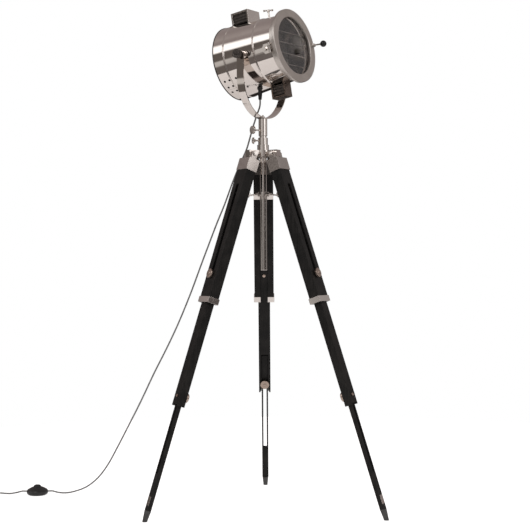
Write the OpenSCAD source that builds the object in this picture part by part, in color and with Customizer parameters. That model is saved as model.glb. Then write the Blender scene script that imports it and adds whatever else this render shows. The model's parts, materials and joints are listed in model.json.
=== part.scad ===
/* [Tripod legs] */
// Angle of each leg from the vertical when the stand is open
leg_tilt = 18.6; // [14:0.1:24]
// Distance from the hinge bolt to the lower end of the upper section
upper_len = 483; // [420:1:600]
// Length of the middle section that shows below the upper one
middle_out = 321; // [280:1:400]
// Length of the lower section and its foot that shows below the middle one
lower_out = 351; // [310:1:450]
// Width of the upper section, across the leg
upper_w = 62; // [56:1:80]
// Thickness of the upper section, in and out
upper_t = 33; // [31:1:42]
// Width of the middle section
middle_w = 38; // [34:1:44]
// Thickness of the middle section
middle_t = 24; // [20:1:26]
// Width of the lower section
lower_w = 21; // [17:1:24]
// Thickness of the lower section
lower_t = 12; // [9:1:14]
// How far the middle section slides up into the upper one
middle_travel = 240; // [150:5:245]
// How far the lower section slides up into the middle one
lower_travel = 230; // [150:5:235]
// Diameter of the clamp knobs on the legs
leg_knob_d = 29; // [25:1:34]

/* [Hub and column] */
// Distance of the hinge bolts from the column's axis
hinge_r = 42; // [40:1:52]
// Diameter of the centre post
post_d = 22; // [18:1:24]
// Length of the centre post below the hinge bolts
post_below = 359; // [300:1:420]
// Length of the sleeve on the hub that guides the post
sleeve_len = 39; // [32:1:55]
// Length of the tube under the yoke that turns on the post
socket_len = 53; // [45:1:70]
// Outer diameter of that tube
socket_d = 27; // [26:1:34]
// Distance down the leg from the hinge bolt to the spreader's bracket
bracket_s = 130; // [120:1:160]

/* [Yoke] */
// Clear half width of the yoke, from its middle to the inside of an arm
yoke_half = 118; // [112:1:135]
// Height of the tilt pivots above the yoke's base
yoke_rise = 184; // [180:1:220]
// Width of the yoke's strap
strap_w = 25; // [18:1:32]
// Thickness of the yoke's strap
strap_t = 3; // [2:0.5:5]
// Angle that the head is turned to the right of the front
head_pan = 34; // [0:1:60]
// Angle that the head looks up
head_tilt = 9; // [0:1:20]

/* [Lamp head] */
// Outer diameter of the drum at its rear end
drum_rear_d = 230; // [200:1:232]
// Outer diameter of the drum at its front end
drum_front_d = 202; // [180:1:206]
// Thickness of the drum's sheet metal
drum_wall = 1.2; // [1:0.1:2]
// Length of the drum behind the tilt pivots
drum_back = 102; // [90:1:115]
// Length of the drum in front of the tilt pivots
drum_front = 109; // [100:1:118]
// Height of the drum's axis above the tilt pivots
axis_above_pivots = 12; // [0:1:16]
// Outer diameter of the front ring
ring_d = 228; // [222:1:240]
// Width of the opening in the front ring
ring_opening = 176; // [150:1:184]
// Diameter of the glass globe bulb
bulb_d = 60; // [45:1:80]

/* [Cord and foot switch] */
// Diameter of the mains cord
cord_d = 5; // [4:0.5:6]
// Diameter of the foot switch
switch_d = 70; // [60:1:80]
// Height of the foot switch without its button
switch_h = 27; // [25:1:32]
// How far the switch button goes down
button_travel = 3; // [2:0.5:4]

/* [Hidden] */
$fn = 64;
// Clearances: sliding wood, turning metal parts, hinge pins and bolts in their holes
slide_gap = 0.4;
turn_gap = 0.3;
pin_gap = 0.1;

// Legs: names and the direction each one points, seen from above
LEGS = ["left", "right", "back"];
LEG_TURN = [210, 330, 90];
leg_len = upper_len + middle_out + lower_out;
hinge_z = leg_len * cos(leg_tilt);
foot_r = hinge_r + leg_len * sin(leg_tilt);
axis_y = -foot_r / 4;
middle_end = upper_len + middle_out;
upper_knob_s = upper_len - 89;
lower_knob_s = middle_end - 30;
middle_top = upper_knob_s - 15;
lower_top = lower_knob_s - 99;
foot_h = 33;
cavity_top = middle_top - middle_travel - 9;
stud_r = 3;
knob_seat = 1.5;
knob_h = 8;
nut_r = 5;
nut_h = 3;

// Metal fittings on the legs
cap_top = 18;
cap_len = 39;
fitting_t = 2;
ferrule_h = 18;
inner_slot_w = 23;
outer_slot_w = 16;

// Hub
hub_up = 12;
hub_down = 8;
arm_w = 25;
bolt_r = 4;
ear_r = 9;
ear_t = 13;
hub_r = 25;
hub_collar_r = 18;
hub_collar_h = 17;
sleeve_r = post_d / 2 + turn_gap + 3.7;
hub_top = hinge_z + hub_up;
sleeve_top = hub_top + sleeve_len;
spigot_r = post_d / 2 - 2.3;
socket_z = sleeve_top + 6;
socket_top = socket_z + socket_len;
thumb_r = 2.5;

// Spreader: the bracket's pivot on a leg, the collar's pivots and the arms between them
fold_angle = 14.6;
arm_fold = 76;
collar_rise = 36;
pivot_x = -upper_t / 2 - 6.5;
bracket_r = hinge_r + pivot_x * cos(leg_tilt) + bracket_s * sin(leg_tilt);
bracket_z = hinge_z + pivot_x * sin(leg_tilt) - bracket_s * cos(leg_tilt);
collar_r = 18;
collar_pivot_r = 22;
arm_slope = 10;
arm_len = (bracket_r - collar_pivot_r) / cos(arm_slope);
collar_z = bracket_z + arm_len * sin(arm_slope);
collar_h = 13;
rod_r = 2.5;
eye_r = 3.5;
notch_w = 12;

// Yoke and head
pivot_z = socket_top + yoke_rise;
function drum_r(x) =
    (drum_rear_d - (drum_rear_d - drum_front_d) * (x + drum_back) / (drum_back + drum_front)) / 2;
bead_r = 2.2;
bead_back = -67;
bead_front = 38.5;
bead_room = 3;
skirt_t = 1.5;
skirt_gap = 0.6;
skirt_lap = 10;
hinge_x = drum_front - skirt_lap;
skirt_in_r = drum_r(hinge_x) + skirt_gap;
skirt_r = skirt_in_r + skirt_t;
ring_face = drum_front + 15;
glass_t = 3;
glass_x = drum_front + 3.5;
hinge_y = -(skirt_r + 6);
hinge_turn = 8;
hinge_boss_x = 82;
knuckle_r = 4;
pivot_stud_r = 4;
cord_r = cord_d / 2;
wing_x = 46;
wing_turn = 42;
wing_rise = 26;
top_vent_x = [-72, -9];
top_vent_half_w = 33;
top_vent_top = 148;
bottom_vent_x = [27, 78];
bottom_vent_half_w = 18;
bottom_vent_top = 147;
vent_hole_r = 3;
vent_hole_rows = [-90, -73, -49, -33];
vent_hole_angles = [29, 40, 51.5];
pan_screw_turn = 215 + head_pan;
gland_x = -4;
gland_turn = -16;
gland_len = 36.5;

// Cord: route points relative to the column's foot, from the gland down to the floor,
// through the foot switch and on to the coil
switch_x = -752;
switch_y = 250;
cord_height_in_switch = 12;
route = [
    [-8, -30.7, 1260], [-8, -30.7, 1248], [-9.8, -27.6, 1237], [-14.2, -19, 1226],
    [-20, -7, 1214], [-24, 4.5, 1201], [-28.5, 13, 1189], [-35.5, 17.5, 1166], [-43, 21, 1140],
    [-52, 28, 1112], [-68, 38, 1078], [-84, 46, 1042],
    [-98, 52, 1008], [-122, 60, 944], [-146, 70, 888], [-170, 82, 828], [-200, 98, 752],
    [-234, 116, 664], [-276, 136, 566], [-316, 154, 484], [-358, 172, 404], [-402, 192, 314],
    [-446, 212, 230], [-490, 234, 148], [-520, 250, 96], [-554, 266, 52], [-594, 278, 20],
    [-636, 276, 5], [-664, 264, 3], [-686, 254, 7], [-702, 250, 12], [-716, 250, 12],
    [-788, 250, 12], [-802, 250, 12], [-822, 252, 7], [-846, 258, 3], [-874, 268, 3],
    [-900, 276, 3], [-922, 279, 3], [-936, 279.5, 3]
];
ring_sides = 8;
steps_per_stretch = 2;
coil_center = [-938, 247, 0];
coil_mean_r = 27.5;
coil_turns_wide = 3;
coil_turns_high = 2;
plug_w = 35;
plug_t = 14;
plug_len = 46;
plug_pin_pitch = 19;
plug_pin_len = 19;

// ---- Places ----

module at_column() {
    translate([0, axis_y, 0]) children();
}

module at_leg(turn) {
    at_column() rotate([0, 0, turn]) translate([hinge_r, 0, hinge_z]) rotate([0, -leg_tilt, 0])
        children();
}

module at_arm(turn) {
    at_column() rotate([0, 0, turn]) translate([collar_pivot_r, 0, collar_z]) children();
}

module at_yoke() {
    at_column() rotate([0, 0, -head_pan]) children();
}

module at_head() {
    at_yoke() translate([0, 0, pivot_z]) rotate([0, -head_tilt, 0]) children();
}

module at_drum() {
    at_head() translate([0, 0, axis_above_pivots]) children();
}

// ---- Simple shapes ----

// Box from its lowest to its highest corner
module block(low, high) {
    translate(low) cube(high - low);
}

// Box centred across the leg, from one distance down the leg to another
module leg_block(x0, x1, width, s0, s1) {
    block([x0, -width / 2, -s1], [x1, width / 2, -s0]);
}

// Cylinder along X from x0 to x1
module rod_x(r, x0, x1) {
    translate([x0, 0, 0]) rotate([0, 90, 0]) cylinder(r = r, h = x1 - x0);
}

// Cylinder along Y from y0 to y1
module rod_y(r, y0, y1) {
    translate([0, y0, 0]) rotate([-90, 0, 0]) cylinder(r = r, h = y1 - y0);
}

// Cone along X that follows the drum's taper, larger than the drum by a margin
module drum_cone(margin, x0, x1) {
    translate([x0, 0, 0]) rotate([0, 90, 0])
        cylinder(r1 = drum_r(x0) + margin, r2 = drum_r(x1) + margin, h = x1 - x0, $fn = 360);
}

// Ring about X, from one radius to another
module tube_x(r_in, r_out, x0, x1) {
    difference() {
        rod_x(r_out, x0, x1);
        rod_x(r_in, x0 - 1, x1 + 1);
    }
}

// Disc knob along +Z with rounded-off rims, a raised centre and its screw below
module disc_knob(d, h, stud, reach) {
    cylinder(r = d / 4, h = knob_seat);
    translate([0, 0, knob_seat]) {
        cylinder(r1 = d / 2 - 1, r2 = d / 2, h = 1);
        translate([0, 0, 1]) cylinder(r = d / 2, h = h - 2);
        translate([0, 0, h - 1]) cylinder(r1 = d / 2, r2 = d / 2 - 1, h = 1);
        translate([0, 0, h]) cylinder(r1 = d / 5, r2 = d / 8, h = 1.5);
    }
    translate([0, 0, -reach]) cylinder(r = stud, h = reach + 1);
}

// ---- Legs ----

module leg_cap() {
    color("silver") difference() {
        union() {
            leg_block(-upper_t / 2 - fitting_t, upper_t / 2 + fitting_t,
                upper_w + 2 * fitting_t, cap_top, cap_top + cap_len);
            for (side = [-1, 1])
                translate([0, side * (arm_w / 2 + slide_gap + ear_t / 2), 0]) {
                    rod_y(ear_r, -ear_t / 2, ear_t / 2);
                    block([-ear_r, -ear_t / 2, -cap_top - 1], [ear_r, ear_t / 2, 0]);
                }
        }
        leg_block(-upper_t / 2, upper_t / 2, upper_w, cap_top + fitting_t, cap_top + cap_len + 1);
        rod_y(bolt_r + pin_gap, -upper_w, upper_w);
    }
}

module leg_upper() {
    cavity_w = middle_w + 2 * slide_gap;
    cavity_t = middle_t + 2 * slide_gap;
    color("#1d1c1b") difference() {
        leg_block(-upper_t / 2, upper_t / 2, upper_w, cap_top + fitting_t, upper_len);
        leg_block(-cavity_t / 2, cavity_t / 2, cavity_w, cavity_top, upper_len + 1);
        leg_block(0, upper_t, outer_slot_w, cavity_top - 26, upper_knob_s + 2 * stud_r);
        leg_block(-upper_t, 0, inner_slot_w, cavity_top - 20, upper_len + 1);
    }
}

module leg_ferrule() {
    color("silver") difference() {
        leg_block(-upper_t / 2 - fitting_t, upper_t / 2 + fitting_t,
            upper_w + 2 * fitting_t, upper_len - ferrule_h, upper_len);
        leg_block(-upper_t / 2, upper_t / 2, upper_w, upper_len - ferrule_h - 1, upper_len + 1);
        leg_block(-upper_t, 0, inner_slot_w, upper_len - ferrule_h - 1, upper_len + 1);
    }
}

// Saddle across the inner face, with a notch and two lugs that the spreader arm's eye sits in
module leg_bracket() {
    saddle_h = 15;
    lug_t = 3;
    inner = -upper_t / 2;
    color("silver") difference() {
        union() {
            leg_block(inner - lug_t, inner, upper_w, bracket_s - saddle_h / 2,
                bracket_s + saddle_h / 2);
            for (side = [-1, 1])
                translate([0, side * (notch_w / 2 + lug_t / 2), -bracket_s]) {
                    translate([pivot_x, 0, 0]) rod_y(5, -lug_t / 2, lug_t / 2);
                    block([pivot_x, -lug_t / 2, -5], [inner - 1, lug_t / 2, 5]);
                }
        }
        leg_block(inner - lug_t - 1, inner + 1, notch_w, bracket_s - 4, bracket_s + saddle_h);
    }
}

module leg_middle() {
    bar_w = lower_w + 2 * slide_gap;
    bar_t = lower_t + 2 * slide_gap;
    ear = 5;
    color("#232120") difference() {
        leg_block(-middle_t / 2, middle_t / 2, middle_w, middle_top, middle_end);
        leg_block(-bar_t / 2, bar_t / 2, bar_w, lower_top - lower_travel - ear, middle_end + 1);
        leg_block(-middle_t, 0, bar_w, lower_top - ear, middle_end + 1);
        leg_block(-middle_t, middle_t, middle_w - 2 * ear, middle_end - ear, middle_end + 1);
        for (s = [upper_knob_s, lower_knob_s])
            translate([0, 0, -s]) rod_x(stud_r + pin_gap, -middle_t, middle_t);
    }
}

module upper_knob() {
    seat = upper_t / 2 + turn_gap;
    nut = middle_t / 2 + turn_gap;
    color("tan") translate([seat, 0, -upper_knob_s]) rotate([0, 90, 0]) {
        disc_knob(leg_knob_d, knob_h, stud_r, seat + nut + nut_h + 3);
        translate([0, 0, -seat - nut - nut_h]) cylinder(r = nut_r, h = nut_h);
    }
}

module lower_knob() {
    seat = middle_t / 2 + turn_gap;
    color("tan") translate([-seat, 0, -lower_knob_s]) rotate([0, -90, 0]) {
        disc_knob(leg_knob_d, knob_h, stud_r, 2 * seat + nut_h + 2);
        translate([0, 0, -2 * seat - nut_h]) cylinder(r = nut_r, h = nut_h);
    }
}

module leg_lower() {
    rail = 5;
    slot_end = lower_knob_s + lower_travel + 2 * stud_r;
    color("#1a1918") difference() {
        leg_block(-lower_t / 2, lower_t / 2, lower_w, lower_top, leg_len - foot_h);
        leg_block(-lower_t, lower_t, lower_w - 2 * rail, lower_knob_s - 2 * stud_r, slot_end);
        translate([0, 0, -leg_len]) cylinder(r = 4, h = foot_h + 16);
    }
}

// Rubber foot, pushed into the lower section by its spigot and cut flat on the floor
module leg_foot(turn) {
    color("#2a2928") difference() {
        at_leg(turn) translate([0, 0, -leg_len - 12]) {
            cylinder(r1 = 6, r2 = lower_w / 2 - 0.5, h = foot_h + 12);
            cylinder(r = 4 - pin_gap, h = foot_h + 12 + 15);
        }
        block([-foot_r * 2, -foot_r * 2, -100], [foot_r * 2, foot_r * 2, 0]);
    }
}

// ---- Hub, column and spreader ----

module hub() {
    color("silver") at_column() difference() {
        union() {
            translate([0, 0, hinge_z - hub_down]) cylinder(r = hub_r, h = hub_up + hub_down);
            for (turn = LEG_TURN)
                rotate([0, 0, turn])
                    block([0, -arm_w / 2, hinge_z - hub_down],
                        [hinge_r + 13, arm_w / 2, hinge_z + hub_up]);
            translate([0, 0, hub_top]) cylinder(r = hub_collar_r, h = hub_collar_h);
            translate([0, 0, hub_top]) cylinder(r = sleeve_r, h = sleeve_len);
        }
        translate([0, 0, hinge_z - hub_down - 1])
            cylinder(r = post_d / 2 + turn_gap, h = hub_down + hub_up + sleeve_len + 2);
        for (turn = LEG_TURN)
            rotate([0, 0, turn]) translate([hinge_r, 0, hinge_z])
                rod_y(bolt_r + pin_gap, -upper_w, upper_w);
        translate([0, 0, post_screw_z()]) rotate([0, 0, 180])
            rod_x(thumb_r + pin_gap, 0, 2 * hub_collar_r);
    }
}

// Bolt along Y with a round head at one end and an acorn nut at the other
module hinge_bolt() {
    reach = arm_w / 2 + slide_gap + ear_t + turn_gap;
    rod_y(bolt_r, -reach - 1, reach + 1);
    rod_y(8, reach, reach + 4);
    rod_y(6, reach + 4, reach + 6);
    rod_y(7, -reach - 4, -reach);
    translate([0, -reach - 4, 0]) rotate([90, 0, 0]) cylinder(r1 = 6, r2 = 1, h = 8);
}

module hinge_bolts() {
    color("silver") at_column() for (turn = LEG_TURN)
        rotate([0, 0, turn]) translate([hinge_r, 0, hinge_z]) hinge_bolt();
}

module spreader_collar() {
    color("silver") at_column() difference() {
        union() {
            translate([0, 0, collar_z - collar_h / 2]) cylinder(r = collar_r, h = collar_h);
            for (turn = LEG_TURN)
                rotate([0, 0, turn]) for (side = [-1, 1])
                    translate([0, side * 5.5, collar_z]) {
                        block([collar_r - 5, -1.5, -3.5], [collar_pivot_r, 1.5, 3.5]);
                        translate([collar_pivot_r, 0, 0]) rod_y(3.5, -1.5, 1.5);
                    }
        }
        translate([0, 0, collar_z - collar_h])
            cylinder(r = post_d / 2 + turn_gap, h = 2 * collar_h);
        for (turn = LEG_TURN)
            rotate([0, 0, turn]) translate([collar_pivot_r, 0, collar_z])
                rod_y(1.5 + pin_gap, -8, 8);
    }
}

// Arm with its own pivot pin at the collar and an open eye at the leg
module spreader_arm() {
    color("silver") {
        rod_y(3, -3.6, 3.6);
        rod_y(1.5, -7, 7);
        rotate([0, arm_slope, 0]) {
            rod_x(rod_r, 0, arm_len);
            translate([arm_len, 0, 0]) rod_y(eye_r, -3.5, 3.5);
        }
    }
}

module centre_post() {
    foot_z = hinge_z - post_below;
    color("silver") at_column() {
        translate([0, 0, foot_z]) cylinder(r = post_d / 2 - 1, h = 1);
        translate([0, 0, foot_z + 1]) cylinder(r = post_d / 2, h = socket_z - turn_gap - foot_z - 1);
        translate([0, 0, foot_z + 2]) cylinder(r = spigot_r, h = socket_top - 9 - foot_z);
    }
}

function post_screw_z() = sleeve_top - 8;
function pan_screw_z() = socket_z + 17;

// Thumb screw that points in along X from its knurled head
module thumb_screw(d, tip, head) {
    rotate([0, 90, 0]) {
        translate([0, 0, tip]) cylinder(r = thumb_r, h = head - tip + 1);
        translate([0, 0, head]) cylinder(r = d / 2, h = 6);
        translate([0, 0, head + 6]) cylinder(r1 = d / 2 - 1.5, r2 = d / 4, h = 2);
        translate([0, 0, head - 4]) cylinder(r = d / 4, h = 5);
    }
}

module post_screw() {
    color("silver") at_column() translate([0, 0, post_screw_z()]) rotate([0, 0, 180])
        thumb_screw(20, post_d / 2 + turn_gap, sleeve_r + 12);
}

module yoke_socket() {
    color("silver") at_yoke() {
        difference() {
            translate([0, 0, socket_z]) cylinder(r = socket_d / 2, h = socket_len);
            translate([0, 0, socket_z - 1]) cylinder(r = spigot_r + turn_gap, h = socket_len - 5);
            translate([0, 0, pan_screw_z()]) rotate([0, 0, pan_screw_turn])
                rod_x(thumb_r + pin_gap, 0, socket_d);
        }
        translate([0, 0, socket_top - 1]) cylinder(r = 3, h = strap_t + 2);
        translate([0, 0, socket_top + strap_t + 0.2]) cylinder(r = 6, h = 4);
        translate([0, 0, socket_top + strap_t + 4]) cylinder(r1 = 5, r2 = 1.5, h = 5);
    }
}

module pan_screw() {
    color("silver") at_yoke() translate([0, 0, pan_screw_z()]) rotate([0, 0, pan_screw_turn])
        thumb_screw(25, spigot_r + turn_gap, socket_d / 2 + 22);
}

// ---- Yoke ----

// Outline of the strap seen along the head: straight arms and a round bottom
module yoke_outline(half) {
    translate([0, yoke_base_r() - yoke_rise]) circle(r = half, $fn = 96);
    translate([-half, yoke_base_r() - yoke_rise]) square([2 * half, yoke_rise - yoke_base_r() + 40]);
}

function yoke_base_r() = yoke_half + strap_t;

module yoke() {
    color("silver") at_yoke() translate([0, 0, pivot_z]) {
        difference() {
            rotate([90, 0, 90]) translate([0, 0, -strap_w / 2]) linear_extrude(strap_w)
                difference() {
                    yoke_outline(yoke_half + strap_t);
                    yoke_outline(yoke_half);
                }
            block([-strap_w, -2 * yoke_half, 0], [strap_w, 2 * yoke_half, 100]);
            rod_y(pivot_stud_r + pin_gap, -2 * yoke_half, 2 * yoke_half);
            translate([0, 0, -yoke_rise - 1]) cylinder(r = 3 + pin_gap, h = strap_t + 2);
        }
        for (side = [0, 180])
            rotate([0, 0, side]) difference() {
                rod_y(strap_w / 2, yoke_half, yoke_half + strap_t);
                rod_y(pivot_stud_r + pin_gap, yoke_half - 1, yoke_half + strap_t + 1);
            }
    }
}

module pivot_knob(side) {
    neck = 9;
    color("#4a4038") at_yoke() translate([0, 0, pivot_z])
        rotate([0, 0, side]) translate([0, yoke_half + strap_t + turn_gap, 0]) rotate([-90, 0, 0])
            difference() {
                union() {
                    cylinder(r = 7, h = neck);
                    translate([0, 0, neck]) cylinder(r1 = 12, r2 = 13.5, h = 2);
                    translate([0, 0, neck + 2]) cylinder(r = 13.5, h = 11);
                    translate([0, 0, neck + 13]) cylinder(r1 = 13.5, r2 = 11.5, h = 2);
                }
                translate([0, 0, -1]) cylinder(r = pivot_stud_r + pin_gap, h = 13);
            }
}

// Studs riveted to the drum's sides, each with a round boss that the yoke bears on
module pivot_studs() {
    side_r = drum_r(0);
    color("silver") at_head() for (side = [0, 180])
        rotate([0, 0, side]) difference() {
            union() {
                rod_y(pivot_stud_r, side_r - 4, yoke_half + strap_t + 10);
                rod_y(12, side_r - 5, side_r + 4.5);
                rod_y(8, side_r + 4, yoke_half - turn_gap);
            }
            translate([0, 0, axis_above_pivots]) rotate([0, 0, -side])
                drum_cone(pin_gap / 2, -20, 20);
        }
}

// ---- Lamp head, X forwards ----

module drum() {
    color("gainsboro") at_drum() difference() {
        union() {
            drum_cone(0, -drum_back, drum_front);
            for (x = [bead_back, bead_front])
                translate([x, 0, 0]) rotate([0, 90, 0]) rotate_extrude($fn = 96)
                    translate([drum_r(x) - 0.6, 0]) circle(r = bead_r, $fn = 24);
        }
        drum_cone(-drum_wall, -drum_back - 1, drum_front + 1);
        for (row = vent_hole_rows, angle = vent_hole_angles, side = [-1, 1])
            rotate([side * angle, 0, 0]) translate([row, 0, -drum_r(row) - 5])
                cylinder(r = vent_hole_r, h = 10);
        translate([wing_x, 0, drum_r(wing_x) - 5]) cylinder(r = thumb_r + pin_gap, h = 10);
        rotate([gland_turn, 0, 0]) translate([gland_x, 0, -drum_r(gland_x) - 5])
            cylinder(r = 5 + turn_gap, h = 10);
        air_hole(top_vent_x, top_vent_half_w, 1);
        air_hole(bottom_vent_x, bottom_vent_half_w, -1);
    }
}

// Round hole in the drum under a vent box, above or below the axis
module air_hole(span, half_w, side) {
    middle = (span[0] + span[1]) / 2;
    translate([middle, 0, side * drum_r(middle) - 7]) cylinder(r = 0.6 * half_w, h = 14);
}

module rear_cap() {
    rim_r = drum_r(-drum_back);
    inner_r = drum_r(-drum_back + 9) - drum_wall - 0.1;
    color("#5b5652") at_drum() difference() {
        union() {
            rod_x(inner_r, -drum_back - 1, -drum_back + 9);
            rod_x(rim_r + 1, -drum_back - 2, -drum_back - 0.1);
            translate([-drum_back - 2.2, 0, 0]) rotate([0, 90, 0]) rotate_extrude($fn = 96)
                translate([rim_r - 1, 0]) circle(r = 2, $fn = 24);
        }
        rod_x(inner_r - 1.4, -drum_back, -drum_back + 10);
    }
}

// Strap on the drum's near side with the fixed half of the front ring's hinge and its pin
module door_hinge() {
    web = 6.3;
    side_r = drum_r(hinge_x);
    boss_r = drum_r(hinge_boss_x);
    color("silver") at_drum() rotate([hinge_turn, 0, 0]) {
        difference() {
            union() {
                block([hinge_x - 54, -side_r - 5, -6], [hinge_x - 5, -side_r + 4, 6]);
                for (side = [0, 1])
                    mirror([0, 0, side])
                        block([hinge_x - 20, hinge_y, web], [hinge_x - 0.6, -side_r + 4, web + 8]);
                block([hinge_x - 20, -side_r - 3, -web - 8], [hinge_x - 5, -side_r + 4, web + 8]);
                translate([hinge_x, hinge_y, -web - 8]) cylinder(r = knuckle_r, h = 8);
                translate([hinge_x, hinge_y, web]) cylinder(r = knuckle_r, h = 8);
                translate([hinge_boss_x, 0, 0]) rod_y(11, -boss_r - 5, -boss_r + 4);
            }
            drum_cone(pin_gap / 2, bead_front + bead_room, drum_front);
        }
        translate([hinge_x, hinge_y, -web - 9]) cylinder(r = 2, h = 2 * web + 18);
        translate([hinge_boss_x, 0, 0]) rod_y(7, -boss_r - 10, -boss_r - 4, $fn = 6);
    }
}

module front_ring() {
    opening_r = ring_opening / 2;
    outer_r = ring_d / 2;
    color("#9a918b") at_drum() {
        difference() {
            union() {
                rod_x(skirt_r, hinge_x, ring_face - 3);
                rod_x(outer_r, ring_face - 9, ring_face);
                rotate([hinge_turn, 0, 0]) {
                    block([hinge_x + 0.3, hinge_y, -6], [hinge_x + 12, -skirt_in_r, 6]);
                    translate([hinge_x, hinge_y, -6]) cylinder(r = knuckle_r, h = 12);
                }
            }
            rod_x(skirt_in_r, hinge_x - 5, glass_x + glass_t + 0.2);
            rod_x(opening_r, hinge_x, ring_face + 1);
            tube_x(skirt_r, outer_r - 2, ring_face - 20, ring_face - 3);
            rotate([hinge_turn, 0, 0]) translate([hinge_x, hinge_y, -10])
                cylinder(r = 2 + pin_gap, h = 20);
        }
        tube_x(opening_r + 0.5, skirt_in_r + 0.1, glass_x - 2, glass_x - 0.2);
    }
}

module front_glass() {
    color("lightblue", 0.4) at_drum() rod_x(skirt_in_r - 0.3, glass_x, glass_x + glass_t);
}

// Block on the front ring with a rod and a ball to open it by
module door_handle() {
    color("#2a2624") at_drum() translate([ring_face, (ring_d + ring_opening) / 4 + 2, 15]) {
        block([0, -8, -5], [7, 8, 5]);
        rotate([0, 7, 0]) rod_x(2.5, 6, 36);
        rotate([0, 7, 0]) translate([40, 0, 0]) sphere(r = 10);
    }
}

module guard_wires() {
    wire_r = 1.3;
    place = drum_front - 18;
    ring_r = drum_r(place + 2) - drum_wall - 0.1;
    ring_w = 3;
    pitch = 34;
    color("silver") at_drum() translate([place, 0, 0]) {
        tube_x(ring_r - ring_w, ring_r, -2, 2);
        for (row = [-1.5 : 1 : 1.5]) {
            reach = ring_r - ring_w / 2;
            half = sqrt(reach * reach - row * row * pitch * pitch);
            translate([0, 0, row * pitch]) rod_y(wire_r, -half, half);
        }
    }
}

// Parabolic dish; its rim reaches forward to just inside the drum
reflector_back = -62;
reflector_rim_x = 30;
reflector_rim_r = drum_r(reflector_rim_x) - drum_wall - 3;
reflector_hole_r = 23;
function dish_x(r) = reflector_back
    + (reflector_rim_x - reflector_back) * (r * r - reflector_hole_r * reflector_hole_r)
    / (reflector_rim_r * reflector_rim_r - reflector_hole_r * reflector_hole_r);

module reflector() {
    steps = 12;
    sheet = 1.9;
    radii = [for (i = [0 : steps]) reflector_hole_r
        + i * (reflector_rim_r - reflector_hole_r) / steps];
    inner = [for (r = radii) [r, dish_x(r)]];
    outer = [for (i = [steps : -1 : 0]) [radii[i], dish_x(radii[i]) - sheet]];
    color("whitesmoke") at_drum() rotate([0, 90, 0]) rotate_extrude($fn = 96)
        polygon(concat(inner, outer));
}

holder_mouth = -48;

module lamp_holder() {
    back = -drum_back + 0.1;
    color("#2a2624") at_drum() difference() {
        union() {
            rod_x(28, back, back + 4);
            rod_x(20, back + 3, holder_mouth);
        }
        rod_x(13.3, -80, holder_mouth + 1);
    }
}

module bulb() {
    bulb_r = bulb_d / 2;
    neck_r = 12.9;
    color("ivory") at_drum() {
        rod_x(neck_r, -79, holder_mouth + 1);
        translate([holder_mouth + 0.5, 0, 0]) rotate([0, 90, 0])
            cylinder(r1 = neck_r, r2 = bulb_r * 0.6, h = 20);
        translate([-36 + bulb_r, 0, 0]) sphere(r = bulb_r);
    }
}

// Vent box that sits on the drum, open at both of its sides, its base cut to the drum
module vent_box(span, half_w, top, bead) {
    wall = 2.5;
    frame = wall + 3;
    base = drum_r(span[1]) - 20;
    difference() {
        block([span[0], -half_w, base], [span[1], half_w, top]);
        block([span[0] + frame, -half_w - 1, base - 1], [span[1] - frame, half_w + 1, top - 6]);
        block([span[0] + wall, -half_w + wall, base - 1],
            [span[1] - wall, half_w - wall, top - wall]);
        drum_cone(pin_gap / 2, span[0] - 5, span[1] + 5);
        rod_x(drum_r(bead) + bead_r + turn_gap, bead - bead_room, bead + bead_room);
    }
}

module top_vent() {
    color("silver") at_drum() vent_box(top_vent_x, top_vent_half_w, top_vent_top, bead_back);
}

module bottom_vent() {
    color("#6b6058") at_drum() rotate([180, 0, 0])
        vent_box(bottom_vent_x, bottom_vent_half_w, bottom_vent_top, bead_front);
}

module wing_screw() {
    color("silver") at_drum() translate([wing_x, 0, drum_r(wing_x - 5) + turn_gap]) {
        translate([0, 0, -8]) cylinder(r = thumb_r, h = wing_rise + 8);
        cylinder(r = 5, h = 2.5);
        translate([0, 0, wing_rise]) rotate([0, 0, wing_turn]) rod_x(3, -15.5, 15.5);
    }
}

// Gland screwed into the drum, and its tapered rubber boot hanging straight down
module cable_gland() {
    boot_top = 6;
    color("#151515") at_drum() rotate([gland_turn, 0, 0]) translate([gland_x, 0, -drum_r(gland_x)]) {
        translate([0, 0, -4]) cylinder(r = 5, h = 10);
        translate([0, 0, -5]) cylinder(r = 8, h = 4.5);
        rotate([-gland_turn, 0, 0]) rotate([0, head_tilt, 0]) {
            translate([0, 0, -boot_top - 10]) cylinder(r = 6, h = 12);
            translate([0, 0, -gland_len]) cylinder(r1 = 4.5, r2 = 7, h = gland_len - boot_top - 4);
        }
    }
}

// ---- Cord, coil, plug and foot switch ----

function spline_point(a, b, c, d, t) = 0.5 * (2 * b + (c - a) * t
    + (2 * a - 5 * b + 4 * c - d) * t * t + (3 * b - a - 3 * c + d) * t * t * t);

function unit(v) = v / norm(v);

cord_points = concat(
    [for (i = [0 : len(route) - 2], step = [0 : steps_per_stretch - 1])
        spline_point(route[max(i - 1, 0)], route[i], route[i + 1],
            route[min(i + 2, len(route) - 1)], step / steps_per_stretch)],
    [route[len(route) - 1]]
);

function along(points, i) =
    unit(points[min(i + 1, len(points) - 1)] - points[max(i - 1, 0)]);

function ring_at(points, i) =
    let (
        forward = along(points, i),
        side = unit(cross(forward, [0, 1, 0])),
        up = cross(side, forward)
    )
    [for (k = [0 : ring_sides - 1]) points[i]
        + cord_r * (cos(k * 360 / ring_sides) * side + sin(k * 360 / ring_sides) * up)];

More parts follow.
